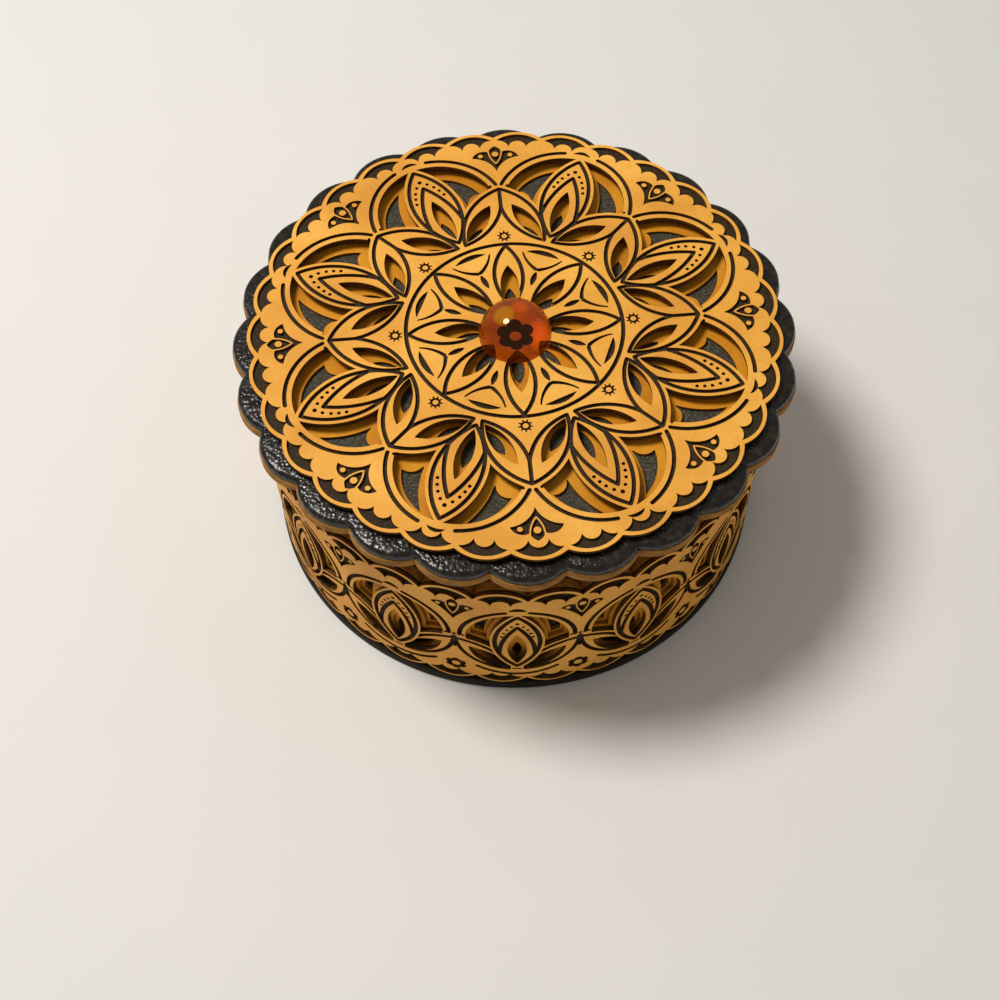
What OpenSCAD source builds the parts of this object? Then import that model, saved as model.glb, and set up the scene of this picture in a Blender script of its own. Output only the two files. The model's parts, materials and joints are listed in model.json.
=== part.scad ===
// Round keepsake box of layered card: a drum wrapped in pierced card, and a lift-off lid
// with scalloped boards, a pierced rosette in five layers and a domed stone.

/* [Box] */
// Radius over the pierced wall
wall_r = 45; // [42:0.5:50]
// Height of the pierced wall, from the base board to the crests of its top edge
wall_h = 33.2; // [31:0.1:40]
// Thickness of the base board
base_t = 2.5; // [1.5:0.1:4]
// How far the base board stands out past the pierced wall
base_lip = 0.2; // [0:0.1:1]
// Height of the drum above the crests of the pierced wall
neck_h = 7.1; // [5:0.1:10]
// Thickness of the drum's board
drum_t = 1.5; // [1:0.1:2.5]
// Thickness of the floor card inside the drum
floor_t = 0.8; // [0.4:0.1:2]
// Room between the floor card's edge and the drum
floor_clear = 0.1; // [0.05:0.05:0.5]

/* [Card layers] */
// Thickness of a pierced front card
front_t = 0.6; // [0.4:0.05:1]
// Thickness of the black card behind a front card
backing_t = 0.3; // [0.2:0.05:0.6]
// Thickness of each gold card behind the black one
layer_t = 0.7; // [0.4:0.05:1]
// Glue line between the cards wrapped round the drum
glue_gap = 0.05; // [0.02:0.01:0.1]
// How far the black card is cut back from the front card's edges
backing_inset = 0.15; // [0.05:0.05:0.3]

/* [Wall pattern] */
// Number of flame motifs round the wall
wall_motifs = 13; // [12:1:13]
// Where a flame stands, in degrees round from the front
wall_turn = -4.5; // [-14:0.5:14]
// Height of the motifs' middle above the middle of the wall
motif_lift = 0.3; // [-0.5:0.05:1]
// Radius of the arch opening round a flame
arch_r = 9; // [8.5:0.1:9.2]
// Half the width of a flame
flame_half = 3.9; // [3.5:0.1:4.2]
// Width of the card left round a flame and a leaf
band_w = 0.8; // [0.6:0.05:1]
// How far each gold card shows inside the opening of the card before it
wall_ledge = 0.6; // [0.4:0.05:0.7]
// Number of scallops along the wall's edges
edge_scallops = 31; // [30:1:32]
// Height of the scallops along the top edge
crest_h = 2.6; // [2:0.1:3]
// Height of the scallops along the bottom edge
foot_h = 1.9; // [1.2:0.1:2.4]
// Where a crest of the wall's edges stands, in degrees round from the front
edge_turn = 3.5; // [-6:0.5:6]
// Width of the flat at the top of each scallop
crest_flat = 1.4; // [1:0.1:2]

/* [Lid] */
// Thickness of each scalloped board
board_t = 1.6; // [1.2:0.1:2.4]
// How far the black board's scallops reach past the wall
board_over = 3; // [2:0.1:5]
// Depth of the boards' scallops, from tip to notch
board_scallop_h = 2.1; // [1.4:0.1:2.4]
// Number of scallops round the boards
board_scallops = 24; // [20:1:28]
// Where a scallop of the boards stands, in degrees round from the front
board_turn = -2.5; // [-7:0.5:7]
// How far the lower board shows past the black one
under_lip = 0.2; // [0:0.05:0.6]
// Room between the black board and the rosette's inner layers, which lie in its middle
board_clear = 0.1; // [0.05:0.05:0.5]
// Height of the ring that seats the lid in the drum
ring_h = 7; // [4:0.5:12]
// Thickness of the ring's card
ring_t = 1.4; // [1:0.1:2]
// Room between the ring and the drum
ring_clear = 0.4; // [0.3:0.05:0.8]
// Thickness of the lining card under the lid
lining_t = 0.8; // [0.4:0.1:2]
// Room between the lining's edge and the ring
lining_clear = 0.1; // [0.05:0.05:0.5]

/* [Rosette] */
// How far the rosette's scallops reach past the wall
rim_over = 0.3; // [0:0.1:1.5]
// Number of scallops round the rosette
rim_scallops = 31; // [29:1:33]
// Depth of the rosette's scallops, from tip to notch
rim_scallop_h = 1.3; // [1:0.05:1.5]
// Width of the thin line of card along the scallops
rim_line_w = 0.7; // [0.5:0.05:0.8]
// Width of the plain band left inside the thin line, from the notches
rim_band_in = 0.6; // [0.5:0.05:0.9]
// How far the lower gold card shows inside the rosette's wide openings
rose_ledge = 1.25; // [0.9:0.05:1.4]
// How far the lower gold card shows inside the rosette's petals
petal_ledge = 0.5; // [0.3:0.05:0.6]
// Card left round the rosette's flames and side leaves
rose_band_w = 0.9; // [0.7:0.05:1]
// Card left between the rosette's lobes and the gaps behind its rim
lobe_band = 3; // [2.5:0.1:4]

/* [Stone] */
// Width of the domed stone
gem_d = 12.4; // [8:0.2:14]
// Height of the domed stone
gem_h = 6; // [3:0.1:6.2]
// How far the stone sits in front of the rosette's middle
gem_front = 1.4; // [0:0.1:2]

/* [Hidden] */
$fn = 96;

// Colours of the card, board and stone
gold = [0.93, 0.67, 0.24];
dark_gold = [0.80, 0.55, 0.16];
edge_brown = [0.59, 0.39, 0.20];
black_card = [0.17, 0.16, 0.15];
black_board = [0.14, 0.14, 0.14];
amber = [0.72, 0.24, 0.05];

// Radii of the wall's layers, from the outside in
front_r = wall_r;
backing_r = front_r - front_t - glue_gap;
middle_r = backing_r - backing_t - glue_gap;
deep_r = middle_r - layer_t - glue_gap;
drum_r = deep_r - layer_t - glue_gap;
drum_in_r = drum_r - drum_t;

// Heights of the box
crest_z = base_t + wall_h;
drum_top_z = crest_z + neck_h;
motif_z = base_t + wall_h / 2 + motif_lift;

// Heights of the lid's boards and cards
under_z = drum_top_z;
board_z = under_z + board_t;
deep_z = board_z + backing_t;
middle_z = deep_z + front_t;
lid_backing_z = board_z + board_t + front_t;
lid_front_z = lid_backing_z + backing_t;
gem_z = lid_front_z + front_t;

// Radii of the lid
board_tip_r = wall_r + board_over;
ring_r = drum_in_r - ring_clear;
rim_tip_r = wall_r + rim_over;
rim_notch_r = rim_tip_r - rim_scallop_h;
inner_layer_r = rim_notch_r - rim_line_w;

// Folds of the rosette's pattern
rose_folds = 8;
rose_step = 360 / rose_folds;

// Radii of the rosette's inner petals, from the middle
petal_foot = 5;
petal_tip = 13.4;
petal_half = 1.6;
// The paired leaves: where the outline starts beside the ring, where pairs meet, and half its width
leaf_foot = [19.9, 20.3];
leaf_tip = [31.4, 0];
leaf_half = 2.6;
// The openings in the paired leaves
leaf_hole_foot = [21, 17.8];
leaf_hole_tip = [27.7, 4];
leaf_hole_half = 1.45;
// The flames between the leaves, and the openings in them
rose_flame_foot = 21;
rose_flame_tip = 39.5;
rose_flame_half = 3.9;
core_foot = 21.8;
core_tip = 32;
core_half = 1.35;
// The lobe over each flame, which leaves lobe_gap of card to the next one
lobe_mid = 29.5;
lobe_gap = 0.78;
lobe_r = lobe_mid * sin(rose_step / 2) - lobe_gap / 2;
// Radius inside which nothing but petals, leaves and cores is open
lobe_from_r = 26;
// Scale of the pattern, which keeps its lobes lobe_band inside the rim's gaps
rose = (rim_notch_r - rim_band_in - lobe_band) / (lobe_mid + lobe_r);

// The wall's motif, from the middle of its arch: flame, opening in the flame, leaves at its foot
flame_top = 8.2;
flame_foot = -10.5;
hole_top = 1.5;
hole_foot = -9.2;
hole_half = 1.7;
leaf_out = [10.4, -1.5];
leaf_in = [1.2, -10];
wall_leaf_half = 2.8;
leaf_hole_out = [8.5, -3.8];
leaf_hole_in = [1.5, -11.2];
wall_leaf_hole_half = 1.8;

// A point at radius p[0], turned p[1] degrees from +Y towards +X
function polar(p) = [p[0] * sin(p[1]), p[0] * cos(p[1])];

// Radius of the arcs that make n scallops between two radii
function scallop_arc(tip, notch, n) =
    let (half = notch * sin(180 / n), rise = tip - notch * cos(180 / n))
    (half * half + rise * rise) / (2 * rise);

// Pointed oval from a to b, with its arcs moved out by grow
module lens(a, b, half, grow = 0) {
    length = norm(b - a);
    arc = (length * length / 4 + half * half) / (2 * half);
    translate((a + b) / 2) rotate(atan2(b.y - a.y, b.x - a.x)) intersection() {
        translate([0, half - arc]) circle(arc + grow);
        translate([0, arc - half]) circle(arc + grow);
    }
}

// Copies of a drawing on both sides of the Y axis
module both_sides() {
    children();
    mirror([1, 0]) children();
}

// Copies of a drawing in every fold of the rosette
module folds(turn = 0) {
    for (i = [0 : rose_folds - 1]) rotate(turn + i * rose_step) children();
}

// A disc with n scallops, one of them at the front turned by turn
module scalloped_disc(tip, notch, n, turn = 0) {
    arc = scallop_arc(tip, notch, n);
    circle(notch * cos(180 / n));
    for (i = [0 : n - 1]) rotate(turn + i * 360 / n) translate([0, arc - tip]) circle(arc);
}

// A flat ring of card, drawn between two radii
module ring(outer, inner) {
    difference() {
        circle(outer);
        circle(inner);
    }
}

// The rosette's openings: petals, leaves and cores grown by small, lobes by wide
module rosette_openings(small, wide) {
    folds() lens([0, petal_foot], [0, petal_tip], petal_half, small);
    folds() both_sides() lens(polar(leaf_hole_foot), polar(leaf_hole_tip), leaf_hole_half, small);
    folds(rose_step / 2) lens([0, core_foot], [0, core_tip], core_half, small);
    folds(rose_step / 2) lobe_openings(wide);
}

// The two openings between a flame, its lobe and the leaves beside it
module lobe_openings(grow) {
    difference() {
        translate([0, lobe_mid]) circle(lobe_r + grow);
        lens([0, rose_flame_foot], [0, rose_flame_tip], rose_flame_half, rose_band_w - grow);
        both_sides() rotate(rose_step / 2)
            lens(polar(leaf_foot), polar(leaf_tip), leaf_half, rose_band_w - grow);
        circle(lobe_from_r);
    }
}

// The gaps behind the thin line along the rosette's scallops
module rim_gaps() {
    arc = scallop_arc(rim_tip_r, rim_notch_r, rim_scallops);
    for (i = [0 : rim_scallops - 1]) rotate(i * 360 / rim_scallops) difference() {
        translate([0, arc - rim_tip_r]) circle(arc - rim_line_w);
        circle(rim_notch_r - rim_band_in);
    }
}

// The openings of one wall motif, grown by grow
module motif_openings(grow) {
    lens([0, hole_top], [0, hole_foot], hole_half, grow);
    both_sides() lens(leaf_hole_out, leaf_hole_in, wall_leaf_hole_half, grow);
    difference() {
        circle(arch_r + grow);
        lens([0, flame_top], [0, flame_foot], flame_half, band_w - grow);
        both_sides() lens(leaf_out, leaf_in, wall_leaf_half, band_w - grow);
        polygon([leaf_out, [0, leaf_in.y], [-leaf_out.x, leaf_out.y],
            [-leaf_out.x, leaf_in.y - arch_r], [leaf_out.x, leaf_in.y - arch_r]]);
    }
}

// What is cut away between two scallops of the given height, with the crest line at y = 0
module scallop_notch(height) {
    half = PI * wall_r / edge_scallops;
    arc = (half * half + height * height) / (2 * height);
    sink = arc - sqrt(arc * arc - crest_flat * crest_flat / 4);
    difference() {
        translate([-half, -height]) square([2 * half, height + wall_ledge]);
        for (side = [-1, 1]) translate([side * half, sink - arc]) circle(arc);
    }
}

// A drawing cut out through the wall towards the front, turned by turn, at height z
module wall_cut(turn, z) {
    rotate(turn) translate([0, -drum_in_r, z]) rotate([90, 0, 0])
        linear_extrude(wall_r - drum_in_r + base_t) children();
}

// One pierced card round the drum, with its openings grown by grow
module wall_card(radius, thickness, grow) {
    edge_step = 360 / edge_scallops;
    difference() {
        translate([0, 0, base_t]) linear_extrude(wall_h) ring(radius, radius - thickness);
        for (i = [0 : wall_motifs - 1])
            wall_cut(wall_turn + i * 360 / wall_motifs, motif_z) motif_openings(grow);
        for (i = [0 : edge_scallops - 1]) {
            wall_cut(edge_turn + (i + 0.5) * edge_step, crest_z) scallop_notch(crest_h);
            wall_cut(edge_turn + (i + 0.5) * edge_step, base_t) mirror([0, 1]) scallop_notch(foot_h);
        }
    }
}

// Black board that the box stands on
module base_board() {
    color(black_board) cylinder(h = base_t, r = wall_r + base_lip);
}

// Card disc that keeps the drum round and covers the base board inside
module floor_card() {
    color(black_card) translate([0, 0, base_t]) cylinder(h = floor_t, r = drum_in_r - floor_clear);
}

// Black board tube that carries the wall cards and the lid
module drum() {
    color(black_board) translate([0, 0, base_t]) linear_extrude(drum_top_z - base_t)
        ring(drum_r, drum_in_r);
}

module wall_deep_layer() {
    color(dark_gold) wall_card(deep_r, layer_t, -2 * wall_ledge);
}

module wall_middle_layer() {
    color(dark_gold) wall_card(middle_r, layer_t, -wall_ledge);
}

module wall_backing() {
    color(black_card) wall_card(backing_r, backing_t, backing_inset);
}

module wall_front() {
    color(gold) wall_card(front_r, front_t, 0);
}

// Gold board under the black one, which rests on the drum
module lid_under_board() {
    tip = board_tip_r + under_lip;
    color(edge_brown) translate([0, 0, under_z]) linear_extrude(board_t)
        scalloped_disc(tip, tip - board_scallop_h, board_scallops, board_turn);
}

// Black scalloped board, open in the middle for the rosette's inner layers
module lid_board() {
    color(black_board) translate([0, 0, board_z]) linear_extrude(board_t) difference() {
        scalloped_disc(board_tip_r, board_tip_r - board_scallop_h, board_scallops, board_turn);
        circle(inner_layer_r + board_clear);
    }
}

// Card ring under the lid that drops into the drum
module lid_ring() {
    color(black_card) translate([0, 0, under_z - ring_h]) linear_extrude(ring_h)
        ring(ring_r, ring_r - ring_t);
}

// Card disc inside the ring, under the lower board
module lid_lining() {
    color(black_card) translate([0, 0, under_z - lining_t])
        cylinder(h = lining_t, r = ring_r - ring_t - lining_clear);
}

// Black card at the bottom of the rosette's openings
module lid_floor_card() {
    color(black_card) translate([0, 0, board_z]) cylinder(h = backing_t, r = inner_layer_r);
}

// Lower gold card of the rosette, which shows inside the upper card's openings
module lid_deep_layer() {
    color(dark_gold) translate([0, 0, deep_z]) linear_extrude(front_t) difference() {
        circle(inner_layer_r);
        scale(rose) rosette_openings(-petal_ledge, -rose_ledge);
    }
}

// Thick gold card that lifts the rosette's upper cards off the lower one
module lid_middle_layer() {
    color(dark_gold) translate([0, 0, middle_z]) linear_extrude(lid_backing_z - middle_z) difference() {
        circle(inner_layer_r);
        scale(rose) rosette_openings(0, 0);
    }
}

// Black card of the rosette, which shows in the upper card's lines and rim
module lid_backing() {
    color(black_card) translate([0, 0, lid_backing_z]) linear_extrude(backing_t) difference() {
        scalloped_disc(rim_tip_r - backing_inset, rim_notch_r - backing_inset, rim_scallops);
        scale(rose) rosette_openings(backing_inset, backing_inset);
    }
}

// Upper gold card of the rosette
module lid_front() {
    color(gold) translate([0, 0, lid_front_z]) linear_extrude(front_t) difference() {
        scalloped_disc(rim_tip_r, rim_notch_r, rim_scallops);
        rim_gaps();
        scale(rose) rosette_openings(0, 0);
    }
}

// Domed amber stone glued near the middle of the rosette
module gem() {
    dome_r = (gem_d * gem_d / 4 + gem_h * gem_h) / (2 * gem_h);
    color(amber) translate([0, -gem_front, gem_z]) rotate_extrude() intersection() {
        translate([0, gem_h - dome_r]) circle(dome_r);
        square([gem_d / 2, gem_h]);
    }
}

base_board();
floor_card();
drum();
wall_deep_layer();
wall_middle_layer();
wall_backing();
wall_front();
lid_under_board();
lid_board();
lid_ring();
lid_lining();
lid_floor_card();
lid_deep_layer();
lid_middle_layer();
lid_backing();
lid_front();
gem();
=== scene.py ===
import json
from math import atan, ceil, cos, pi, radians, sin, sqrt

import bmesh
import bpy
import numpy as np
from mathutils import Matrix, Vector
from mathutils.geometry import delaunay_2d_cdt


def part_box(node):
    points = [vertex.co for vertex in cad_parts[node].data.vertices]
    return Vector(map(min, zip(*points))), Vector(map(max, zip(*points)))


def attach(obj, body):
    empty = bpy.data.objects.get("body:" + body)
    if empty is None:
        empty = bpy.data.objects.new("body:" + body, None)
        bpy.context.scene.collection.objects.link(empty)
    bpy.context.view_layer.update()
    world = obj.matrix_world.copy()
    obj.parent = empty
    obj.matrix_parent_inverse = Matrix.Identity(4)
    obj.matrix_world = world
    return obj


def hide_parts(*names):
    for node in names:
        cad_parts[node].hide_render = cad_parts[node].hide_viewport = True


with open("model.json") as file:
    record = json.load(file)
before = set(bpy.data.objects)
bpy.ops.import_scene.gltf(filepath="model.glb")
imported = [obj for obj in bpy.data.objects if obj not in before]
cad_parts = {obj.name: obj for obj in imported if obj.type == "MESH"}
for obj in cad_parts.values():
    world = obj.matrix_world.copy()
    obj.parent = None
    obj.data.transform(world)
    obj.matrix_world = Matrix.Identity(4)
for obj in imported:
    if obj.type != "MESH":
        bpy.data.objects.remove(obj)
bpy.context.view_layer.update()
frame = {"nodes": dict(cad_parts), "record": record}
mm = 0.001
print("frame loaded:", len(frame["nodes"]), "CAD nodes")

bodyOf = {node: body for body, nodes in frame["record"]["behaviour"]["bodies"].items() for node in nodes}


def levels(node):  # bottom and top of a CAD node, in mm
    low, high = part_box(node)
    return low.z / mm, high.z / mm


# Camera, from the photograph's viewing angle

cameraView = dict(
    aim=(-2.883, 0.0, -8.331),  # mm
    distance=307.964,
    azimuth=-4.151,
    elevation=58.61,
    roll=-0.823,
    lens=55.344,
    sensor=36.0,
)


def makeCamera(view):
    azimuth, elevation, roll = (radians(view[k]) for k in ("azimuth", "elevation", "roll"))
    back = Vector((sin(azimuth) * cos(elevation), -cos(azimuth) * cos(elevation), sin(elevation)))
    right = Vector((cos(azimuth), sin(azimuth), 0))
    up = back.cross(right)
    right, up = cos(roll) * right + sin(roll) * up, cos(roll) * up - sin(roll) * right
    data = bpy.data.cameras.new("photoView")
    data.lens, data.sensor_width = view["lens"], view["sensor"]
    data.clip_start, data.clip_end = 0.01, 10
    camera = bpy.data.objects.new("photoView", data)
    place = Matrix((right, up, back)).transposed().to_4x4()
    place.translation = (Vector(view["aim"]) + back * view["distance"]) * mm
    camera.matrix_world = place
    bpy.context.scene.collection.objects.link(camera)
    bpy.context.scene.camera = camera


makeCamera(cameraView)
print("camera placed")


# Materials

def addNode(tree, kind, **settings):
    node = tree.nodes.new(kind)
    for key, value in settings.items():
        if key in node.inputs:
            node.inputs[key].default_value = value
        else:
            setattr(node, key, value)
    return node


def startMaterial(name):
    material = bpy.data.materials.new(name)
    material.use_nodes = True
    tree = material.node_tree
    shader = tree.nodes["Principled BSDF"]
    place = addNode(tree, "ShaderNodeTexCoord").outputs["Object"]
    return material, tree, shader, place


def noiseAt(tree, place, scale, detail=4.0, stretch=(1, 1, 1), roughness=0.5):  # cells per metre
    mapping = addNode(tree, "ShaderNodeMapping")
    mapping.inputs["Scale"].default_value = [scale * s for s in stretch]
    tree.links.new(place, mapping.inputs["Vector"])
    noise = addNode(tree, "ShaderNodeTexNoise", Scale=1.0, Detail=detail, Roughness=roughness)
    tree.links.new(mapping.outputs["Vector"], noise.inputs["Vector"])
    return noise.outputs["Fac"]


def rampOf(tree, value, *stops):  # stops are (place, colour)
    ramp = addNode(tree, "ShaderNodeValToRGB")
    spots = ramp.color_ramp.elements
    while len(spots) < len(stops):
        spots.new(0.5)
    for spot, (where, colour) in zip(spots, stops):
        spot.position = where
        spot.color = (*colour, 1)
    tree.links.new(value, ramp.inputs["Fac"])
    return ramp.outputs["Color"]


def mixColours(tree, factor, first, second, blend="MIX"):
    mix = addNode(tree, "ShaderNodeMix", data_type="RGBA", blend_type=blend)
    for socket, value in ((mix.inputs[0], factor), (mix.inputs[6], first), (mix.inputs[7], second)):
        if isinstance(value, bpy.types.NodeSocket):
            tree.links.new(value, socket)
        else:
            socket.default_value = value if isinstance(value, float) else (*value, 1)
    return mix.outputs[2]


def rangeOf(tree, value, low, high):  # spreads a noise of about 0.3 to 0.7 over low to high
    spread = addNode(tree, "ShaderNodeMapRange")
    for key, number in (("From Min", 0.3), ("From Max", 0.7), ("To Min", low), ("To Max", high)):
        spread.inputs[key].default_value = number
    tree.links.new(value, spread.inputs["Value"])
    return spread.outputs["Result"]


def bumpOf(tree, shader, height, strength, depth):  # depth in mm
    bump = addNode(tree, "ShaderNodeBump", Strength=strength, Distance=depth * mm)
    tree.links.new(height, bump.inputs["Height"])
    tree.links.new(bump.outputs["Normal"], shader.inputs["Normal"])


goldLook = dict(
    face=(0.83, 0.385, 0.047), pale=(0.92, 0.47, 0.075), dull=(0.70, 0.30, 0.032),
    mottle=70, fibre=2600, rough=(0.52, 0.72), gloss=0.35, bump=0.25,
)
# Same gold card as goldLook, painted darker and more saturated: painted shade for the lower cards and the
# under board
paintedShadeGoldLook = dict(
    face=(0.67, 0.260, 0.010), pale=(0.77, 0.33, 0.018), dull=(0.53, 0.185, 0.006),
    mottle=90, fibre=2600, rough=(0.55, 0.75), gloss=0.2, bump=0.25,
)


def goldCardMaterial(name, look):
    material, tree, shader, place = startMaterial(name)
    mottle = noiseAt(tree, place, look["mottle"], 3.0)
    fibre = noiseAt(tree, place, look["fibre"], 5.0, (1.0, 0.35, 0.6), 0.6)
    base = rampOf(tree, mottle, (0.32, look["dull"]), (0.5, look["face"]), (0.70, look["pale"]))
    grain = rampOf(tree, fibre, (0.30, (0.80, 0.76, 0.70)), (0.55, (1, 1, 1)))
    tree.links.new(mixColours(tree, 0.5, base, grain, "MULTIPLY"), shader.inputs["Base Color"])
    tree.links.new(rangeOf(tree, fibre, *look["rough"]), shader.inputs["Roughness"])
    shader.inputs["Specular IOR Level"].default_value = look["gloss"]
    bumpOf(tree, shader, fibre, look["bump"], 0.05)
    return material


# Cut-side colours: the brown is partly the card's own cut edge and partly painted shade in the cuts
cutEdgeLook = dict(darkest=(0.060, 0.022, 0.003), brown=(0.17, 0.066, 0.009), pale=(0.30, 0.130, 0.022))
# Lit copy of the cut-side colours, painted about twice as light: painted light on sides the lamp leaves in
# shade
paintedLightEdgeLook = dict(darkest=(0.14, 0.060, 0.010), brown=(0.34, 0.150, 0.025), pale=(0.52, 0.250, 0.045))
# Shaded copy of the cut-side colours, painted darker: painted shade that keeps the cuts in the front cards
# dark
paintedShadeEdgeLook = dict(darkest=(0.032, 0.013, 0.002), brown=(0.095, 0.036, 0.004), pale=(0.20, 0.080, 0.012))


def cutEdgeMaterial(name, look):  # sides left by the cutter: brown, with the card's layers
    material, tree, shader, place = startMaterial(name)
    plies = noiseAt(tree, place, 900, 4.0, (1, 1, 8))
    scorch = noiseAt(tree, place, 420, 3.0)
    tone = rampOf(tree, plies, (0.30, look["darkest"]), (0.5, look["brown"]), (0.72, look["pale"]))
    singe = rampOf(tree, scorch, (0.35, look["darkest"]), (0.6, look["pale"]))
    tree.links.new(mixColours(tree, 0.35, tone, singe), shader.inputs["Base Color"])
    tree.links.new(rangeOf(tree, plies, 0.65, 0.85), shader.inputs["Roughness"])
    shader.inputs["Specular IOR Level"].default_value = 0.2
    bumpOf(tree, shader, plies, 0.3, 0.06)
    return material


# The brown tint in blackCardLook is painted bounce light from the gold around the cuts; the card itself is
# black
blackCardLook = dict(dark=(0.016, 0.009, 0.003), grey=(0.042, 0.026, 0.011), speck=(0.100, 0.070, 0.040))
baseCardLook = dict(dark=(0.007, 0.005, 0.003), grey=(0.016, 0.012, 0.008), speck=(0.045, 0.036, 0.026))
speckledCardLook = dict(dark=(0.020, 0.017, 0.011), grey=(0.066, 0.057, 0.039), speck=(0.220, 0.200, 0.150))


def blackCardMaterial(name, look):  # matt black card with pale fibres
    material, tree, shader, place = startMaterial(name)
    fibre = noiseAt(tree, place, 2600, 5.0, roughness=0.65)
    tone = rampOf(tree, fibre, (0.32, look["dark"]), (0.55, look["grey"]), (0.74, look["speck"]))
    tree.links.new(tone, shader.inputs["Base Color"])
    tree.links.new(rangeOf(tree, fibre, 0.6, 0.8), shader.inputs["Roughness"])
    shader.inputs["Specular IOR Level"].default_value = 0.15
    bumpOf(tree, shader, fibre, 0.35, 0.08)
    return material


blackBoardLook = dict(dark=(0.007, 0.0055, 0.004), grey=(0.015, 0.012, 0.008), worn=(0.040, 0.031, 0.022))


def blackBoardMaterial(name, look):  # pebbled black board with a low sheen
    material, tree, shader, place = startMaterial(name)
    pebble = addNode(tree, "ShaderNodeTexVoronoi", feature="SMOOTH_F1", Scale=1700.0, Smoothness=0.6)
    tree.links.new(place, pebble.inputs["Vector"])
    lumps = noiseAt(tree, place, 700, 4.0)
    tone = rampOf(tree, lumps, (0.35, look["dark"]), (0.55, look["grey"]), (0.75, look["worn"]))
    tree.links.new(tone, shader.inputs["Base Color"])
    tree.links.new(rangeOf(tree, lumps, 0.18, 0.32), shader.inputs["Roughness"])
    height = addNode(tree, "ShaderNodeMath", operation="SUBTRACT")
    tree.links.new(lumps, height.inputs[0])
    tree.links.new(pebble.outputs["Distance"], height.inputs[1])
    shader.inputs["Specular IOR Level"].default_value = 0.4
    bumpOf(tree, shader, height.outputs["Value"], 0.5, 0.22)
    return material


stoneLook = dict(
    clear=(0.17, 0.020, 0.0010), deep=(0.06, 0.005, 0.0004), sheen=(0.95, 0.66, 0.46),
    index=1.49, rough=(0.0, 0.04),
    paintedLightAndShade=(  # colour, middle and size of painted glows, a painted reflection and painted shade in the stone, in mm
        ((0.010, 0.002, 0.0005), (-5.0, 1.0, 50.1), (0.5, 1.9)),
        ((0.34, 0.034, 0.0010), (0.9, -0.2, 53.3), (0.5, 1.9)),
        ((0.50, 0.042, 0.0015), (3.8, -4.6, 50.9), (0.5, 3.2)),
        ((0.25, 0.155, 0.0060), (-2.1, -1.5, 53.3), (1.3, 2.2)),
    ),
)


def stoneMaterial(name, look):  # clear amber resin, polished
    material, tree, shader, place = startMaterial(name)
    swirl = noiseAt(tree, place, 220, 2.0)
    colour = rampOf(tree, swirl, (0.35, look["deep"]), (0.65, look["clear"]))
    # the patches paint glows, a reflection and shade into the amber's colour, each at a fixed spot
    for tint, middle, (near, far) in look["paintedLightAndShade"]:
        reach = addNode(tree, "ShaderNodeVectorMath", operation="DISTANCE")
        tree.links.new(place, reach.inputs[0])
        reach.inputs[1].default_value = [c * mm for c in middle]
        fade = addNode(tree, "ShaderNodeMapRange", interpolation_type="SMOOTHSTEP")
        spread = (("From Min", near * mm), ("From Max", far * mm), ("To Min", 1.0), ("To Max", 0.0))
        for key, number in spread:
            fade.inputs[key].default_value = number
        tree.links.new(reach.outputs["Value"], fade.inputs["Value"])
        colour = mixColours(tree, fade.outputs["Result"], colour, tint)
    tree.links.new(colour, shader.inputs["Base Color"])
    shader.inputs["Specular Tint"].default_value = (*look["sheen"], 1)
    shader.inputs["Transmission Weight"].default_value = 1.0
    shader.inputs["IOR"].default_value = look["index"]
    polish = noiseAt(tree, place, 900, 3.0)
    tree.links.new(rangeOf(tree, polish, *look["rough"]), shader.inputs["Roughness"])
    return material


goldCard = goldCardMaterial("goldCard", goldLook)
# gold card with painted shade
paintedShadeGold = goldCardMaterial("paintedShadeGoldCard", paintedShadeGoldLook)
cutEdge = cutEdgeMaterial("brownCutEdge", cutEdgeLook)
paintedLightEdge = cutEdgeMaterial("paintedLightCutEdge", paintedLightEdgeLook)
paintedShadeEdge = cutEdgeMaterial("paintedShadeCutEdge", paintedShadeEdgeLook)
blackCard = blackCardMaterial("blackCard", blackCardLook)
baseCard = blackCardMaterial("baseCard", baseCardLook)
speckledCard = blackCardMaterial("speckledCard", speckledCardLook)
blackBoard = blackBoardMaterial("blackBoard", blackBoardLook)
amberStone = stoneMaterial("amberStone", stoneLook)
print("materials made")


# Drawing tools: outlines in mm, as lists of points

drawStep = 0.35  # mm between points on an arc
endStep = 0.2  # the same at the round ends of a cut
frontAngle = 270  # degrees from +X to the front


def bow(start, end, rise, step=drawStep):  # arc that stands out by rise on its left
    start, end = Vector(start), Vector(end)
    along = end - start
    half = along.length / 2
    along.normalize()
    left = Vector((-along.y, along.x))
    if abs(rise) < 0.01:
        steps = max(1, ceil(2 * half / (4 * step)))
        return [start.lerp(end, i / steps) for i in range(steps + 1)]
    turn = 4 * atan(rise / half)
    radius = half / sin(turn / 2)
    middle = (start + end) / 2 + left * (rise - radius)
    steps = max(2, ceil(abs(radius * turn) / step))
    swings = [turn * (i / steps - 0.5) for i in range(steps + 1)]
    return [middle + radius * (left * cos(swing) + along * sin(swing)) for swing in swings]


def loop(*runs):  # closed outline from runs that meet end to end
    return [point for run in runs for point in run[:-1]]


def oval(start, end, half, grow=0.0):  # pointed oval, its arcs moved out by grow
    middle, reach = (Vector(start) + Vector(end)) / 2, (Vector(end) - Vector(start)) / 2
    radius = (reach.length_squared + half * half) / (2 * half)
    reach.length = sqrt((radius + grow) ** 2 - (radius - half) ** 2)
    start, end = middle - reach, middle + reach
    return loop(bow(start, end, half + grow), bow(end, start, half + grow))


def disc(middle, radius):
    count = max(10, ceil(2 * pi * radius / drawStep))
    swings = [2 * pi * i / count for i in range(count)]
    return [Vector(middle) + radius * Vector((cos(swing), sin(swing))) for swing in swings]


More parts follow.
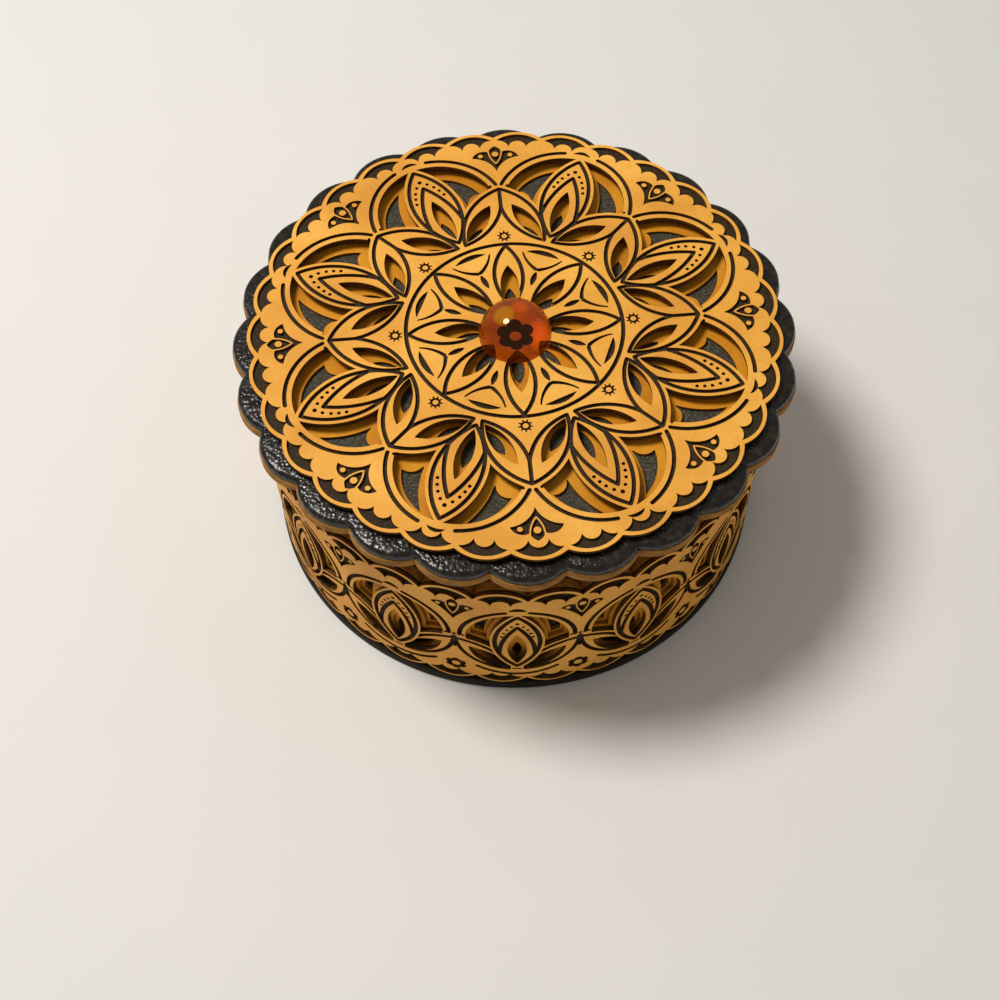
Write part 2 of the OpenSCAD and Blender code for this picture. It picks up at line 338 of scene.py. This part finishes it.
def arcFrom(middle, radius, first, last):  # arc between two angles from +X, in degrees
    ends = [Vector(middle) + radius * Vector((cos(radians(a)), sin(radians(a)))) for a in (first, last)]
    return bow(*ends, -radius * (1 - cos(radians(last - first) / 2)))


def halfMoon(corner, rise, sag):  # gap between two bows that share their ends
    x, y = corner
    return loop(bow((x, y), (-x, y), -rise), bow((-x, y), (x, y), sag))


def groove(path, width, thin=None):  # cut along a path, round at its ends, running out to thin
    thin = width if thin is None else thin
    last = len(path) - 1
    left, right = [], []
    for i, spot in enumerate(path):
        along = (path[min(i + 1, last)] - path[max(i - 1, 0)]).normalized()
        side = Vector((-along.y, along.x)) * (width + (thin - width) * i / last) / 2
        left.append(spot + side)
        right.append(spot - side)
    front = bow(left[-1], right[-1], thin / 2, endStep)
    back = bow(right[0], left[0], width / 2, endStep)
    return loop(left, front, right[::-1], back)


def polar(radius, degrees):  # point at a radius, turned from the axis
    return Vector((radius * sin(radians(degrees)), radius * cos(radians(degrees))))


def flipped(points):  # mirror image across the axis
    return [Vector((-p.x, p.y)) for p in points][::-1]


def bothSides(*outlines):
    return [*outlines, *(flipped(o) for o in outlines)]


def turned(points, degrees):  # from an axis drawn upwards to one at an angle from +X
    turn = Matrix.Rotation(radians(degrees - 90), 2)
    return [turn @ p for p in points]


def moved(points, x, y):
    return [p + Vector((x, y)) for p in points]


def cut(*outlines):
    return [(outline, False) for outline in outlines]


def keep(*outlines):
    return [(outline, True) for outline in outlines]


def placed(work, x, y):
    return [(moved(points, x, y), kept) for points, kept in work]


def around(work, angles):  # repeats drawn work at each angle
    return [(turned(points, angle), kept) for angle in angles for points, kept in work]


def along(work, places):  # repeats drawn work at each place along a strip
    return [item for x in places for item in placed(work, x, 0)]


# Cards: drawings filled in, given thickness, with the cut sides in a second material

def covered(outline, spots):  # which of the spots lie inside an outline
    ring = np.array(outline)
    low, high = ring.min(axis=0), ring.max(axis=0)
    near = np.flatnonzero(((spots > low) & (spots < high)).all(axis=1))
    x, y = spots[near].T
    inside = np.zeros(len(near), bool)
    for (ax, ay), (bx, by) in zip(ring, np.roll(ring, -1, axis=0)):
        if ay != by:
            inside ^= ((ay > y) != (by > y)) & (x < (bx - ax) * (y - ay) / (by - ay) + ax)
    return near[inside]


def fillDrawing(drawing, rails=()):  # the last outline over a spot decides, within the first one
    spots, rings, lines = [], [], []
    for points, _ in drawing:
        rings.append(list(range(len(spots), len(spots) + len(points))))
        spots.extend(points)
    for rail in rails:
        lines.append((len(spots), len(spots) + 1))
        spots.extend(Vector(p) for p in rail)
    sides = [pair for ring in rings for pair in zip(ring, ring[1:] + ring[:1])]
    points, _, faces, *_ = delaunay_2d_cdt(spots, sides + lines, [], 0, 1e-5, False)
    middles = np.array([p[:] for p in points])[np.array(faces)].mean(axis=1)
    left = np.zeros(len(faces), bool)
    for outline, kept in drawing:
        left[covered(outline, middles)] = kept
    sheet = set(covered(drawing[0][0], middles))
    bm = bmesh.new()
    corners = [bm.verts.new((p.x, p.y, 0)) for p in points]
    for i, face in enumerate(faces):
        if left[i] and i in sheet:
            bm.faces.new([corners[k] for k in face])
    bmesh.ops.delete(bm, geom=[v for v in bm.verts if not v.link_faces], context="VERTS")
    return bm


def thicken(bm, shift):  # second face of a card; shift moves its points
    bmesh.ops.recalc_face_normals(bm, faces=bm.faces)
    made = bmesh.ops.extrude_face_region(bm, geom=bm.faces[:], use_keep_orig=True)["geom"]
    fresh = [item for item in made if isinstance(item, bmesh.types.BMVert)]
    for vert in fresh:
        vert.co = shift(vert.co)
    sides = set(bm.faces) - {item for item in made if isinstance(item, bmesh.types.BMFace)}
    fresh = set(fresh)
    for face in sides:
        if 0 < sum(vert in fresh for vert in face.verts) < len(face.verts):
            face.material_index = 1
    bmesh.ops.recalc_face_normals(bm, faces=bm.faces)


def finishPiece(name, bm, node, *materials, sharp=35):
    bmesh.ops.scale(bm, vec=(mm, mm, mm), verts=bm.verts)
    mesh = bpy.data.meshes.new(name)
    bm.to_mesh(mesh)
    bm.free()
    for material in materials:
        mesh.materials.append(material)
    mesh.shade_smooth()
    mesh.set_sharp_from_angle(angle=radians(sharp))
    piece = bpy.data.objects.new(name, mesh)
    bpy.context.scene.collection.objects.link(piece)
    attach(piece, bodyOf[node])
    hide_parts(node)
    print(name, "made with", len(mesh.polygons), "faces")
    return piece


def flatCard(name, node, drawing, *materials):
    bottom, top = levels(node)
    bm = fillDrawing(drawing)
    bmesh.ops.translate(bm, vec=(0, 0, top), verts=bm.verts)
    thicken(bm, lambda co: Vector((co.x, co.y, bottom)))
    return finishPiece(name, bm, node, *materials)


# Marks that the lid and the wall share, drawn with the inner tip or the middle at the origin

trefoil = dict(
    wing=(4.25, 3.4), waist=(1.25, 4.8), tip=6.2, stem=((0, 1.9), (1.2, 5.1), -0.3), line=0.26,
    hollow=0.85, crown=0.75, point=0.2, dot=(0.62, 4.25), sideDot=(0.46, 2.7, 3.9),
)


def trefoilMark(mark, sideDots=(1, -1)):
    tip, wing, waist, end = (0, 0), mark["wing"], mark["waist"], (0, mark["tip"])
    half = [bow(tip, wing, mark["hollow"]), bow(wing, waist, -mark["crown"])]
    half.append(bow(waist, end, -mark["point"]))
    other = [[Vector((-p.x, p.y)) for p in run][::-1] for run in reversed(half)]
    stem = groove(bow(*mark["stem"]), mark["line"])
    work = cut(loop(*half, *other)) + keep(*bothSides(stem))
    radius, height = mark["dot"]
    work += keep(disc((0, height), radius))
    radius, out, height = mark["sideDot"]
    return work + keep(*(disc((side * out, height), radius) for side in sideDots))


def flowerMark(petals, radius, reach, heart):  # scalloped black flower with a gold heart
    spots = [polar(reach, 360 * i / petals) for i in range(petals)]
    return cut(disc((0, 0), reach), *(disc(spot, radius) for spot in spots)) + keep(disc((0, 0), heart))


sun = dict(heart=0.5, ring=0.9, rays=9, rayFrom=0.9, rayTo=1.15, rayWidth=0.27)


def sunMark(mark):
    rays = [groove(bow(polar(mark["rayFrom"], a), polar(mark["rayTo"], a), 0), mark["rayWidth"])
            for a in (360 * i / mark["rays"] for i in range(mark["rays"]))]
    return cut(disc((0, 0), mark["ring"]), *rays) + keep(disc((0, 0), mark["heart"]))


def edgeGap(gap, side=1):  # gap behind the thin line of one scallop; side is -1 at a foot
    (x, y), (sx, sy) = gap["corner"], gap["spike"]
    return loop(
        bow((-x, y), (x, y), gap["top"] - y),
        bow((x, y), (sx, sy), -side * gap["shoulder"]),
        bow((sx, sy), (-sx, sy), -side * gap["bump"]),
        bow((-sx, sy), (-x, y), -side * gap["shoulder"]),
    )


# Lid rosette: petals, leaves and flames of eight folds, drawn outwards along an axis

rosette = dict(
    folds=8, cutWidth=0.72, band=0.9, ringRadius=18.4,
    tip=45.3, notch=44.0, scallops=31, steps=26, layerRadius=43.3,
    seed=((0, 9.4), (0, 12.7), 0.5), spray=((0.25, 13.15), (3.5, 16.15), -0.35), sprayWidth=(0.72, 0.28),
    brow=((3.0, 16.5), 1.0, -0.05), crest=((1.6, 41.1), 0.95, 0.25), leafDot=((1.5, 32.1), 0.3),
    petal=((0, 4.6), (0, 18.0), 2.45),
    petalHole=((0, 4.2), (0, 13.6), 1.6), petalDeep=((0, 4.0), (0, 10.3), 1.1),
    leaf=((19.9, 20.3), (31.4, 0), 2.6),
    leafHole=((20.4, 18.9), (27.7, 4.0), 1.5), leafDeep=((20.4, 18.6), (24.5, 8.6), 1.0),
    flame=((0, 21.0), (0, 39.5), 3.9),
    flameHole=((0, 21.8), (0, 32.0), 1.4), flameDeep=((0, 21.8), (0, 28.3), 1.0),
    chevronTip=(0, 35.4), chevronEnd=(3.05, 26.0), chevronRise=0.68,
    dots=((1.03, 36.0), (1.82, 34.82), (2.33, 33.65), (2.7, 32.43)), dotTip=((0, 36.95), 0.4), dotSize=0.32,
    lobeMiddle=29.3, lobeRadius=10.8, lobeSlot=12.0, lobeSlotFrom=4.5, lobeSlotTo=75.0, lobeFrom=26.0,
    ledge=1.25, flameLedge=1.15, bud=((3.45, 30.2), 2.25), backingInset=0.15,
    middleInset=0.8, middleHoleInset=0.6, sunAt=20.25, trefoilAt=35.7,
)
foldStep = 360 / rosette["folds"]
trefoilAxes = [frontAngle + foldStep * i for i in range(rosette["folds"])]
flameAxes = [angle + foldStep / 2 for angle in trefoilAxes]


def scallopRadius(angle, tip, notch, count):  # radius of a scalloped edge, from a scallop's middle
    half = notch * sin(pi / count)
    rise = tip - notch * cos(pi / count)
    arc = (half * half + rise * rise) / (2 * rise)
    middle = tip - arc
    swing = (angle + pi / count) % (2 * pi / count) - pi / count
    return middle * cos(swing) + sqrt(arc * arc - (middle * sin(swing)) ** 2)


def scallopEdge(tip, notch, count, steps, turn=0.0):  # outline with a scallop at the front, turned by turn
    total = count * steps
    points = []
    for i in range(total):
        angle = 2 * pi * i / total
        radius = scallopRadius(angle, tip, notch, count)
        points.append(radius * Vector((cos(angle + radians(turn - 90)), sin(angle + radians(turn - 90)))))
    return points


def leafOutline(rose, key, grow=0.0):
    start, end, half = rose[key]
    return oval(polar(*start), polar(*end), half, grow)


def lobeOpenings(rose, grow, flameGrow=None):  # wide openings beside the flames
    lobe = cut(disc((0, rose["lobeMiddle"]), rose["lobeRadius"] + grow))
    flame = keep(oval(*rose["flame"], rose["band"] - (grow if flameGrow is None else flameGrow)))
    leaves = keep(*bothSides(leafOutline(rose, "leaf", rose["band"] - grow)))
    work = around(lobe, flameAxes) + around(flame, flameAxes) + around(leaves, trefoilAxes)
    return work + keep(disc((0, 0), rose["lobeFrom"]))


def smallOpenings(rose, petal, leaf, flame, grow=0.0):
    petals = around(cut(oval(*rose[petal], grow)), trefoilAxes)
    leaves = around(cut(*bothSides(leafOutline(rose, leaf, grow))), trefoilAxes)
    return petals + leaves + around(cut(oval(*rose[flame], grow)), flameAxes)


def petalCuts(rose):  # fine lines on a trefoil axis
    width = rose["cutWidth"]
    start, end, half = rose["petal"]
    work = cut(*bothSides(groove(bow(start, end, half), width)))
    foot, tip = polar(*rose["leaf"][0]), polar(*rose["leaf"][1])
    outer = bow(foot, tip, -rose["leaf"][2])
    inner = [Vector((max(p.x, 0), p.y)) for p in bow(foot, tip, rose["leaf"][2])]
    work += cut(*bothSides(groove(outer, width), groove(inner, width)))
    work += cut(*bothSides(disc(*rose["leafDot"])))
    return work + placed(sunMark(sun), 0, rose["sunAt"])


def flameCuts(rose):  # fine lines on a flame axis
    width = rose["cutWidth"]
    work = cut(oval(*rose["seed"]))
    work += cut(*bothSides(groove(bow(*rose["spray"]), *rose["sprayWidth"])))
    work += cut(halfMoon(*rose["brow"]))
    start, end, half = rose["flame"]
    work += cut(*bothSides(groove(bow(start, end, half), width)))
    chevron = bow(rose["chevronEnd"], rose["chevronTip"], -rose["chevronRise"])
    work += cut(*bothSides(groove(chevron, width)))
    work += cut(disc(*rose["dotTip"]))
    work += cut(*bothSides(*(disc(p, rose["dotSize"]) for p in rose["dots"])))
    slot = arcFrom((0, rose["lobeMiddle"]), rose["lobeSlot"], rose["lobeSlotFrom"], rose["lobeSlotTo"])
    work += cut(*bothSides(groove(slot, width)))
    return work + cut(halfMoon(*rose["crest"]))


rimGap = dict(corner=(3.95, 43.15), top=44.72, spike=(1.6, 41.65), bump=1.45, shoulder=0.5)


def rosetteFront(rose):
    width = rose["cutWidth"]
    scallopAxes = [frontAngle + 360 / rose["scallops"] * i for i in range(rose["scallops"])]
    work = keep(scallopEdge(rose["tip"], rose["notch"], rose["scallops"], rose["steps"]))
    work += around(cut(edgeGap(rimGap)), scallopAxes)
    work += lobeOpenings(rose, 0)
    work += cut(disc((0, 0), rose["ringRadius"] + width / 2))
    work += keep(disc((0, 0), rose["ringRadius"] - width / 2))
    work += smallOpenings(rose, "petalHole", "leafHole", "flameHole")
    work += around(petalCuts(rose), trefoilAxes) + around(flameCuts(rose), flameAxes)
    for i, angle in enumerate(trefoilAxes):
        sides = (1,) if i == 0 else (1, -1)  # one gold dot has come off the front trefoil
        work += around(placed(trefoilMark(trefoil, sides), 0, rose["trefoilAt"]), [angle])
    return work


def rosetteBacking(rose):
    inset = rose["backingInset"]
    work = keep(scallopEdge(rose["tip"] - inset, rose["notch"] - inset, rose["scallops"], rose["steps"]))
    holes = smallOpenings(rose, "petalHole", "leafHole", "flameHole", inset)
    return work + lobeOpenings(rose, inset) + holes


def rosetteMiddle(rose):
    # set back under the upper cards, so that its sides stay in the shade
    work = keep(disc((0, 0), rose["layerRadius"])) + lobeOpenings(rose, rose["middleInset"])
    return work + smallOpenings(rose, "petalHole", "leafHole", "flameHole", rose["middleHoleInset"])


def rosetteDeep(rose):
    work = keep(disc((0, 0), rose["layerRadius"])) + lobeOpenings(rose, -rose["ledge"], -rose["flameLedge"])
    work += around(keep(*bothSides(disc(*rose["bud"]))), trefoilAxes)
    return work + smallOpenings(rose, "petalDeep", "leafDeep", "flameDeep")


flatCard("lidFrontCard", "lid_front", rosetteFront(rosette), goldCard, paintedShadeEdge)
flatCard("lidBlackCard", "lid_backing", rosetteBacking(rosette), blackCard, blackCard)
flatCard("lidMiddleCard", "lid_middle_layer", rosetteMiddle(rosette), paintedShadeGold, cutEdge)
flatCard("lidDeepCard", "lid_deep_layer", rosetteDeep(rosette), paintedShadeGold, cutEdge)
flatCard("lidFloorCard", "lid_floor_card", keep(disc((0, 0), rosette["layerRadius"])),
         speckledCard, speckledCard)


# Lid boards: scalloped, with rounded edges

boards = dict(
    tip=48.0, depth=2.1, count=24, steps=20, turn=-2.5, hole=43.4, core=30.0,
    lip=0.2, round=0.9, underRound=0.2, segments=4,
)


def scallopRing(board, tip, hole):  # flat ring between a scalloped edge and a round hole
    bm = bmesh.new()
    total = board["count"] * board["steps"]
    bmesh.ops.create_circle(bm, segments=total, radius=1)
    outer = scallopEdge(tip, tip - board["depth"], board["count"], board["steps"], board["turn"])
    bm.verts.ensure_lookup_table()
    start = bm.verts[0]
    order, edge = [start], start.link_edges[0]
    while len(order) < total:
        order.append(edge.other_vert(order[-1]))
        edge = next(e for e in order[-1].link_edges if e is not edge)
    for vert, spot in zip(order, outer):
        vert.co = (spot.x, spot.y, 0)
    made = bmesh.ops.extrude_edge_only(bm, edges=bm.edges[:])["geom"]
    for vert in (item for item in made if isinstance(item, bmesh.types.BMVert)):
        vert.co *= hole / vert.co.length
    return bm


def scallopBoard(name, node, board, tip, hole, rounding, *materials):
    bottom, top = levels(node)
    bm = scallopRing(board, tip, hole)
    if hole < board["hole"]:
        inside = [e for e in bm.edges if e.is_boundary and e.verts[0].co.length < hole + 0.1]
        bmesh.ops.contextual_create(bm, geom=inside)
    bmesh.ops.translate(bm, vec=(0, 0, top), verts=bm.verts)
    thicken(bm, lambda co: Vector((co.x, co.y, bottom)))
    upper = [e for e in bm.edges if e.is_manifold and min(v.co.z for v in e.verts) > top - 0.01]
    rim = [e for e in upper if min(v.co.xy.length for v in e.verts) > board["hole"] + 0.5
           and e.calc_face_angle(0) > 1]
    bmesh.ops.bevel(bm, geom=rim, offset=rounding, offset_type="OFFSET", segments=board["segments"],
                    profile=0.5, affect="EDGES", clamp_overlap=True, material=-1)
    bm.normal_update()
    for face in bm.faces:  # all but the underside is the cut edge
        face.material_index = int(face.normal.z > -0.9)
    return finishPiece(name, bm, node, *materials)


scallopBoard("lidBlackBoard", "lid_board", boards, boards["tip"], boards["hole"], boards["round"],
             blackBoard, blackBoard)
scallopBoard("lidUnderBoard", "lid_under_board", boards, boards["tip"] + boards["lip"], boards["core"],
             boards["underRound"], paintedShadeGold, paintedLightEdge)


# Turned pieces: drum, base, floor, ring and lining

def roundedProfile(inner, outer, bottom, top, rounding, steps=3):  # corners of a section, rounded
    corners = [(outer, bottom, -1, 1, -90), (outer, top, -1, -1, 0)]
    if inner > 0:
        corners += [(inner, top, 1, -1, 90), (inner, bottom, 1, 1, 180)]
    points = [] if inner > 0 else [(0, bottom)]
    for x, z, sx, sz, start in corners:
        for i in range(steps + 1):
            angle = radians(start + 90 * i / steps)
            points.append((x + rounding * (sx + cos(angle)), z + rounding * (sz + sin(angle))))
    return points if inner > 0 else points + [(0, top)]


def spun(profile, steps, closed=False):  # solid from a section turned about the axis
    bm = bmesh.new()
    verts = [bm.verts.new((x, 0, z)) for x, z in profile]
    edges = [bm.edges.new(pair) for pair in zip(verts, verts[1:])]
    if closed:
        edges.append(bm.edges.new((verts[-1], verts[0])))
    bmesh.ops.spin(bm, geom=verts + edges, cent=(0, 0, 0), axis=(0, 0, 1), angle=2 * pi, steps=steps,
                   use_merge=True)
    bmesh.ops.remove_doubles(bm, verts=bm.verts, dist=0.0001)
    bmesh.ops.recalc_face_normals(bm, faces=bm.faces)
    return bm


def turnedPiece(name, node, piece, *materials, steps=180):
    bottom, top = levels(node)
    inner = piece["inner"]
    profile = roundedProfile(inner, piece["outer"], bottom, top, piece["rounding"])
    return finishPiece(name, spun(profile, steps, inner > 0), node, *materials)


drumBoard = dict(inner=41.0, outer=42.5, rounding=0.25)
baseBoard = dict(inner=0, outer=45.2, rounding=0.45)
floorCard = dict(inner=0, outer=40.9, rounding=0.1)
seatRing = dict(inner=39.2, outer=40.6, rounding=0.3)
lidLining = dict(inner=0, outer=39.1, rounding=0.1)
turnedPiece("drumBoard", "drum", drumBoard, blackBoard)
turnedPiece("baseBoard", "base_board", baseBoard, baseCard)
turnedPiece("floorCard", "floor_card", floorCard, baseCard)
turnedPiece("seatRing", "lid_ring", seatRing, baseCard)
turnedPiece("lidLining", "lid_lining", lidLining, baseCard)


# Wall cards: drawn flat along the wall, then wrapped round the drum

wall = dict(
    radius=45.0, motifs=13, turn=-4.5, middle=19.4, cutWidth=0.85, band=0.85,
    arch=8.9, archSlot=9.95, archFrom=1.0, archTo=78.0,
    flame=((0, -10.2), (0, 8.2), 3.9),
    flameHoles=(((0, -9.2), (0, 1.8), 1.7), ((0, -9.8), (0, -1.0), 1.4), ((0, -10.0), (0, -4.2), 0.9)),
    leaf=((10.7, -1.5), (1.5, -11.3), 2.5),
    leafHoles=(((8.5, -3.8), (1.5, -11.2), 1.8), ((7.9, -5.2), (1.3, -12.4), 1.5),
               ((7.0, -7.0), (1.3, -13.4), 1.2)),
    chevronTip=(0, 4.5), chevronEnd=(3.1, -5.2), chevronRise=0.8,
    dots=((2.65, 1.0), (2.3, 2.3), (1.75, 3.6), (1.0, 4.8)), dotTop=((0, 5.9), 0.3795), dotSize=0.33,
    halfMoon=((1.55, 10.2), 1.15, 0.1), skirt=9,
    footSlot=((-7.1, -11.1), (7.1, -11.1), -2.3), footSlotWidth=0.8,
    footBar=((-0.75, -11.3), (0.75, -11.3), 0), footBarWidth=0.45,
    fork=((0, -1.0), (0, -4.6), 0), forkWidth=(1.1, 0.45),
    forkDot=((0, 0.1), 0.4), sideDot=((1.55, 0.1), 0.34),
    ledge=0.6, backingInset=0.15, trefoilAt=5.8, flowerAt=-11.5,
    scallops=31, edgeTurn=3.5, crest=35.7, cusp=33.1, foot=2.5, footCusp=4.4, spare=2, rails=120,
)
topGap = dict(corner=(3.75, 33.08), top=35.1, spike=(1.6, 31.3), bump=1.85, shoulder=0.5)
footGap = dict(corner=(3.95, 4.5), top=2.88, spike=(1.55, 6.0), bump=1.1, shoulder=0.35)
wallTrefoil = dict(
    wing=(3.75, 4.6), waist=(1.15, 5.2), tip=6.9, stem=((0, 1.9), (1.1, 5.5), -0.3), line=0.26,
    hollow=0.35, crown=0.5, point=0.2, dot=(0.62, 4.95), sideDot=(0.42, 2.5, 4.45),
)
wallFlower = dict(petals=6, radius=0.8, reach=1.2, heart=0.78)


def motifOpenings(motif, grow, depth):  # depth counts the cards in front
    (ox, oy), (_, iy), _ = motif["leaf"]
    low = iy - motif["skirt"]
    below = [Vector(p) for p in ((ox, oy), (0, iy), (-ox, oy), (-ox, low), (ox, low))]
    work = cut(disc((0, 0), motif["arch"] + grow))
    work += keep(oval(*motif["flame"], motif["band"] - grow), below)
    work += keep(*bothSides(oval(*motif["leaf"], motif["band"] - grow)))
    spare = max(grow, 0)
    work += cut(oval(*motif["flameHoles"][depth], spare))
    return work + cut(*bothSides(oval(*motif["leafHoles"][depth], spare)))


def motifCuts(motif):
    width, half = motif["cutWidth"], pi * motif["radius"] / motif["motifs"]
    slot = arcFrom((0, 0), motif["archSlot"], motif["archFrom"], motif["archTo"])
    work = cut(*bothSides(groove(slot, width)))
    start, end, bulge = motif["leaf"]
    work += cut(*bothSides(groove(bow(start, end, bulge), width), groove(bow(start, end, -bulge), width)))
    start, end, bulge = motif["flame"]
    work += keep(oval(start, end, bulge, motif["band"])) + cut(oval(*motif["flameHoles"][0]))
    work += cut(*bothSides(groove(bow(start, end, bulge), width)))
    chevron = bow(motif["chevronEnd"], motif["chevronTip"], -motif["chevronRise"])
    work += cut(*bothSides(groove(chevron, width)))
    work += cut(disc(*motif["dotTop"]))
    work += cut(*bothSides(*(disc(p, motif["dotSize"]) for p in motif["dots"])))
    work += cut(groove(bow(*motif["footSlot"]), motif["footSlotWidth"]))
    work += cut(groove(bow(*motif["footBar"]), motif["footBarWidth"]), halfMoon(*motif["halfMoon"]))
    between = cut(groove(bow(*motif["fork"]), *motif["forkWidth"]), disc(*motif["forkDot"]))
    between += cut(*bothSides(disc(*motif["sideDot"])))
    between += placed(trefoilMark(wallTrefoil), 0, motif["trefoilAt"])
    between += placed(flowerMark(**wallFlower), 0, motif["flowerAt"])
    return work + placed(between, half, 0)


def edgeNotch(half, crest, cusp, spare, step=0.4):  # what goes between two scallops
    arc = bow((-half, cusp), (half, cusp), crest - cusp, step)
    if len(arc) % 2 == 0:  # a scallop needs a point at its middle
        arc = bow((-half, cusp), (half, cusp), crest - cusp, step * (len(arc) - 1) / len(arc))
    middle = len(arc) // 2
    left = moved(arc[middle:], -half, 0)
    right = moved(arc[:middle + 1], half, 0)
    reach = 0.9 * half
    return left + right[1:] + [Vector((reach, crest + spare)), Vector((-reach, crest + spare))]


def wallDrawing(card, openings, cuts, marks, inset=0.0):
    radius = card["radius"]
    pitch = 2 * pi * radius / card["motifs"]
    middle = radius * radians(frontAngle + card["turn"])
    first, last = middle - pi * radius, middle + pi * radius
    low, high = card["foot"] + inset, card["crest"] - inset
    sheet = [Vector(p) for p in ((first, low), (last, low), (last, high), (first, high))]
    places = [middle + pitch * i for i in range(-card["motifs"] // 2 - 1, card["motifs"] // 2 + 2)]
    edgePitch = 2 * pi * radius / card["scallops"]
    crest = radius * radians(frontAngle + card["edgeTurn"])
    count = card["scallops"] // 2 + 2
    crests = [crest + edgePitch * i for i in range(-count - 1, count + 1)]
    drawing = keep(sheet)
    for work in (openings, cuts):  # every opening comes before the first cut
        drawing += along(placed(work, 0, card["middle"]), places)
    drawing += along(marks, crests)
    notches = cut(edgeNotch(edgePitch / 2, high, card["cusp"] - inset, card["spare"]),
                  edgeNotch(edgePitch / 2, low, card["footCusp"] + inset, -card["spare"]))
    drawing += along(notches, [x + edgePitch / 2 for x in crests])
    step = 2 * pi * radius / card["rails"]
    rails = [((first + step * i, low), (first + step * i, high)) for i in range(1, card["rails"])]
    return drawing, rails


thicknessOf = dict(wall_front=0.6, wall_backing=0.3, wall_middle_layer=0.7, wall_deep_layer=0.7)


def wrappedCard(name, node, card, drawing, rails, *materials):
    _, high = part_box(node)
    outer = high.x / mm
    bm = fillDrawing(drawing, rails)
    for vert in bm.verts:
        angle, z = vert.co.x / card["radius"], vert.co.y
        vert.co = (outer * cos(angle), outer * sin(angle), z)
    bmesh.ops.remove_doubles(bm, verts=bm.verts, dist=0.002)
    inward = (outer - thicknessOf[node]) / outer
    thicken(bm, lambda co: Vector((co.x * inward, co.y * inward, co.z)))
    return finishPiece(name, bm, node, *materials)


edgeMarks = cut(edgeGap(topGap), edgeGap(footGap, -1))
behind = wall["backingInset"]
wrappedCard("wallFrontCard", "wall_front", wall,
            *wallDrawing(wall, motifOpenings(wall, 0, 0), motifCuts(wall), edgeMarks), goldCard, paintedShadeEdge)
wrappedCard("wallBlackCard", "wall_backing", wall,
            *wallDrawing(wall, motifOpenings(wall, behind, 0), [], [], behind), blackCard, blackCard)
wrappedCard("wallMiddleCard", "wall_middle_layer", wall,
            *wallDrawing(wall, motifOpenings(wall, -wall["ledge"], 1), [], []), paintedShadeGold, paintedLightEdge)
wrappedCard("wallDeepCard", "wall_deep_layer", wall,
            *wallDrawing(wall, motifOpenings(wall, -2 * wall["ledge"], 2), [], []), paintedShadeGold, paintedLightEdge)


# Stone

stone = dict(
    radius=6.2, foot=0.35, rings=24, steps=96, front=1.4, sink=0.05, sharp=60,
    flowerAt=-0.45, flowerLift=0.04, flowerField=2.6,
)
stoneFlower = dict(petals=6, radius=0.85, reach=1.45, heart=0.72)


def makeStone(look):
    bottom, top = levels("gem")
    card, bottom = bottom, bottom - look["sink"]  # glued down, with no air under it
    height, radius = top - bottom, look["radius"]
    ball = (radius * radius + height * height) / (2 * height)
    reach = 2 * atan(height / radius)
    profile = [(0, bottom), (radius - look["foot"], bottom)]
    for i in range(look["rings"] + 1):
        swing = reach * (1 - i / look["rings"])
        profile.append((ball * sin(swing), top - ball + ball * cos(swing)))
    bm = spun(profile, look["steps"])
    field = disc((0, look["flowerAt"]), look["flowerField"])
    petals = placed(flowerMark(**stoneFlower), 0, look["flowerAt"])
    flower = fillDrawing(keep(field) + cut(field) + [(points, not kept) for points, kept in petals])
    bmesh.ops.translate(flower, vec=(0, 0, card + look["flowerLift"]), verts=flower.verts)
    thicken(flower, lambda co: Vector((co.x, co.y, card)))
    for face in flower.faces:
        face.material_index = 1
    shape = bpy.data.meshes.new("stoneFlower")
    flower.to_mesh(shape)
    flower.free()
    bm.from_mesh(shape)
    bpy.data.meshes.remove(shape)
    bmesh.ops.translate(bm, vec=(0, -look["front"], 0), verts=bm.verts)
    dome = finishPiece("amberDome", bm, "gem", amberStone, blackCard, sharp=look["sharp"])
    dome.visible_shadow = False  # lets the light through to the card under it


makeStone(stone)


# Floor, light and view

light = dict(
    key=(-0.406, 0.147, 0.902), distance=0.75, size=0.22, power=4.35, colour=(1.0, 0.965, 0.91),
    fill=0.30, room=(1.0, 0.96, 0.90), floor=(0.80, 0.785, 0.76), floorSize=3.0, floorRough=0.85,
)


def makeStage(stage):
    bm = bmesh.new()
    bmesh.ops.create_grid(bm, x_segments=1, y_segments=1, size=stage["floorSize"])
    mesh = bpy.data.meshes.new("paleFloor")
    bm.to_mesh(mesh)
    bm.free()
    floor = bpy.data.objects.new("paleFloor", mesh)
    bpy.context.scene.collection.objects.link(floor)
    material, tree, shader, place = startMaterial("paleFloor")
    grain = noiseAt(tree, place, 40, 3.0)
    pale = stage["floor"]
    shade = [c * 0.985 for c in pale]
    tree.links.new(rampOf(tree, grain, (0.3, shade), (0.7, pale)), shader.inputs["Base Color"])
    shader.inputs["Roughness"].default_value = stage["floorRough"]
    mesh.materials.append(material)
    lamp = bpy.data.lights.new("keyLight", "AREA")
    lamp.shape, lamp.size, lamp.energy, lamp.color = "DISK", stage["size"], stage["power"], stage["colour"]
    holder = bpy.data.objects.new("keyLight", lamp)
    aim = Vector(stage["key"])
    turn = aim.to_track_quat("Z", "Y").to_matrix().to_4x4()
    holder.matrix_world = Matrix.Translation(aim * stage["distance"]) @ turn
    bpy.context.scene.collection.objects.link(holder)
    holder.visible_transmission = False  # no second image of the lamp inside the stone
    world = bpy.data.worlds.new("softRoom")
    bpy.context.scene.world = world
    world.use_nodes = True
    background = world.node_tree.nodes["Background"]
    background.inputs["Color"].default_value = (*stage["room"], 1)
    background.inputs["Strength"].default_value = stage["fill"]


makeStage(light)
bpy.context.scene.view_settings.view_transform = "Standard"
print("stage lit")
